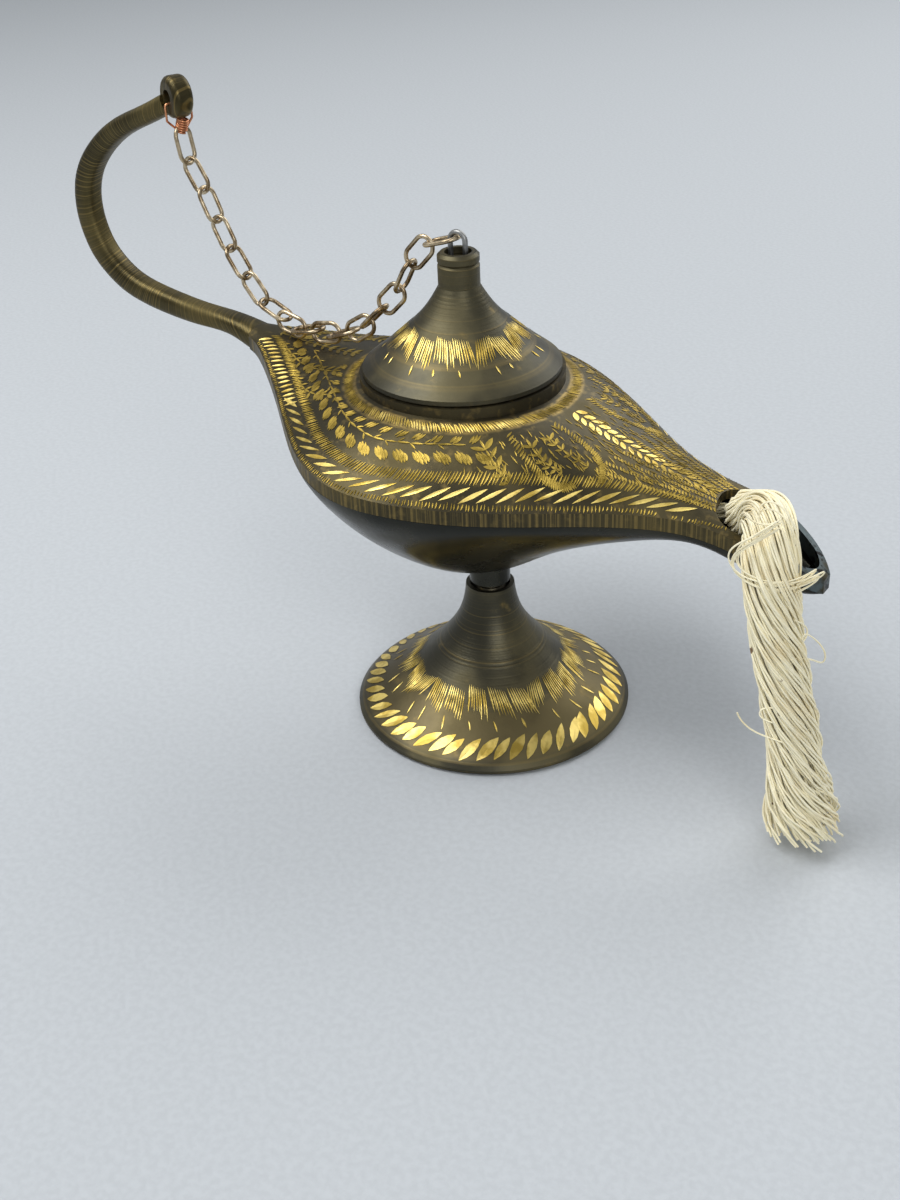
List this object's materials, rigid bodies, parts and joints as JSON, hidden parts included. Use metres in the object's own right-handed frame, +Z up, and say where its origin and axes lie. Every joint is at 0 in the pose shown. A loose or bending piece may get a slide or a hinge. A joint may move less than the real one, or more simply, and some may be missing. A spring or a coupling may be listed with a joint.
{
  "type": "oil lamp",
  "caption": "Boat-shaped brass oil lamp on a turned bell foot: domed engraved deck, conical lift-off lid on a chain, looped strip handle and a cotton wick in an open spout.",
  "frame": {"origin": "centre of the foot's ring on the surface it stands on", "axes": "+X from the handle to the spout, +Z up, +Y across the body"},
  "size_m": [0.1619, 0.0648, 0.1086],
  "materials": {
    "aged_brass": "dark antiqued satin, with bright gold engraved cuts",
    "grey_steel_wire": "dull drawn wire, lightly tarnished",
    "copper_wire": "bare drawn copper wire",
    "cotton": "loosely twisted undyed cotton"
  },
  "bodies": {
    "lamp": {"foot": "aged_brass", "joining_stud": "aged_brass", "bowl": "aged_brass", "deck": "aged_brass", "handle": "aged_brass", "tie_wire": "copper_wire", "chain_link_01": "grey_steel_wire", "wick": "cotton", "wick_inside": "cotton"},
    "lid": {"lid": "aged_brass", "lid_staple": "grey_steel_wire"},
    "link_02": {"chain_link_02": "grey_steel_wire"},
    "link_03": {"chain_link_03": "grey_steel_wire"},
    "link_04": {"chain_link_04": "grey_steel_wire"},
    "link_05": {"chain_link_05": "grey_steel_wire"},
    "link_06": {"chain_link_06": "grey_steel_wire"},
    "link_07": {"chain_link_07": "grey_steel_wire"},
    "link_08": {"chain_link_08": "grey_steel_wire"},
    "link_09": {"chain_link_09": "grey_steel_wire"},
    "link_10": {"chain_link_10": "grey_steel_wire"},
    "link_11": {"chain_link_11": "grey_steel_wire"},
    "link_12": {"chain_link_12": "grey_steel_wire"},
    "link_13": {"chain_link_13": "grey_steel_wire"},
    "link_14": {"chain_link_14": "grey_steel_wire"},
    "link_15": {"chain_link_15": "grey_steel_wire"},
    "link_16": {"chain_link_16": "grey_steel_wire"},
    "link_17": {"chain_link_17": "grey_steel_wire"}
  },
  "joints": [
    {"name": "lid_lift", "type": "slide", "parent": "lamp", "child": "lid", "axis": [0, 0, 1], "range_m": [0, 0.006]},
    {"name": "link_02_rise", "type": "slide", "parent": "lamp", "child": "link_02", "axis": [0.023, 0, 0.9997], "range_m": [0, 0.00011]},
    {"name": "link_03_rise", "type": "slide", "parent": "lamp", "child": "link_03", "axis": [0.023, 0, 0.9997], "range_m": [0, 0.00022]},
    {"name": "link_04_rise", "type": "slide", "parent": "lamp", "child": "link_04", "axis": [0.023, 0, 0.9997], "range_m": [0, 0.00032]},
    {"name": "link_05_rise", "type": "slide", "parent": "lamp", "child": "link_05", "axis": [0.023, 0, 0.9997], "range_m": [0, 0.00042]},
    {"name": "link_06_rise", "type": "slide", "parent": "lamp", "child": "link_06", "axis": [0.023, 0, 0.9997], "range_m": [0, 0.00052]},
    {"name": "link_07_rise", "type": "slide", "parent": "lamp", "child": "link_07", "axis": [0.023, 0, 0.9997], "range_m": [0, 0.00063]},
    {"name": "link_08_rise", "type": "slide", "parent": "lamp", "child": "link_08", "axis": [0.023, 0, 0.9997], "range_m": [0, 0.00135]},
    {"name": "link_09_rise", "type": "slide", "parent": "lamp", "child": "link_09", "axis": [0.023, 0, 0.9997], "range_m": [0, 0.00207]},
    {"name": "link_10_rise", "type": "slide", "parent": "lamp", "child": "link_10", "axis": [0.023, 0, 0.9997], "range_m": [0, 0.00279]},
    {"name": "link_11_rise", "type": "slide", "parent": "lamp", "child": "link_11", "axis": [0.023, 0, 0.9997], "range_m": [0, 0.00351]},
    {"name": "link_12_rise", "type": "slide", "parent": "lamp", "child": "link_12", "axis": [0.023, 0, 0.9997], "range_m": [0, 0.00423]},
    {"name": "link_13_rise", "type": "slide", "parent": "lamp", "child": "link_13", "axis": [0.023, 0, 0.9997], "range_m": [0, 0.00495]},
    {"name": "link_14_rise", "type": "slide", "parent": "lamp", "child": "link_14", "axis": [0.017, 0, 0.9999], "range_m": [0, 0.00501]},
    {"name": "link_15_rise", "type": "slide", "parent": "lamp", "child": "link_15", "axis": [0.0112, 0, 0.9999], "range_m": [0, 0.00508]},
    {"name": "link_16_rise", "type": "slide", "parent": "lamp", "child": "link_16", "axis": [0.0055, 0, 1], "range_m": [0, 0.00515]},
    {"name": "link_17_rise", "type": "slide", "parent": "lamp", "child": "link_17", "axis": [0, 0, 1], "range_m": [0, 0.00521]}
  ],
  "couplings": [
    {"joint": "link_02_rise", "follows": "lid_lift", "ratio": 0.01714},
    {"joint": "link_03_rise", "follows": "lid_lift", "ratio": 0.03428},
    {"joint": "link_04_rise", "follows": "lid_lift", "ratio": 0.05141},
    {"joint": "link_05_rise", "follows": "lid_lift", "ratio": 0.06855},
    {"joint": "link_06_rise", "follows": "lid_lift", "ratio": 0.08569},
    {"joint": "link_07_rise", "follows": "lid_lift", "ratio": 0.10283},
    {"joint": "link_08_rise", "follows": "lid_lift", "ratio": 0.22279},
    {"joint": "link_09_rise", "follows": "lid_lift", "ratio": 0.34276},
    {"joint": "link_10_rise", "follows": "lid_lift", "ratio": 0.46273},
    {"joint": "link_11_rise", "follows": "lid_lift", "ratio": 0.58269},
    {"joint": "link_12_rise", "follows": "lid_lift", "ratio": 0.70266},
    {"joint": "link_13_rise", "follows": "lid_lift", "ratio": 0.82262},
    {"joint": "link_14_rise", "follows": "lid_lift", "ratio": 0.83384},
    {"joint": "link_15_rise", "follows": "lid_lift", "ratio": 0.84507},
    {"joint": "link_16_rise", "follows": "lid_lift", "ratio": 0.85586},
    {"joint": "link_17_rise", "follows": "lid_lift", "ratio": 0.86667}
  ]
}
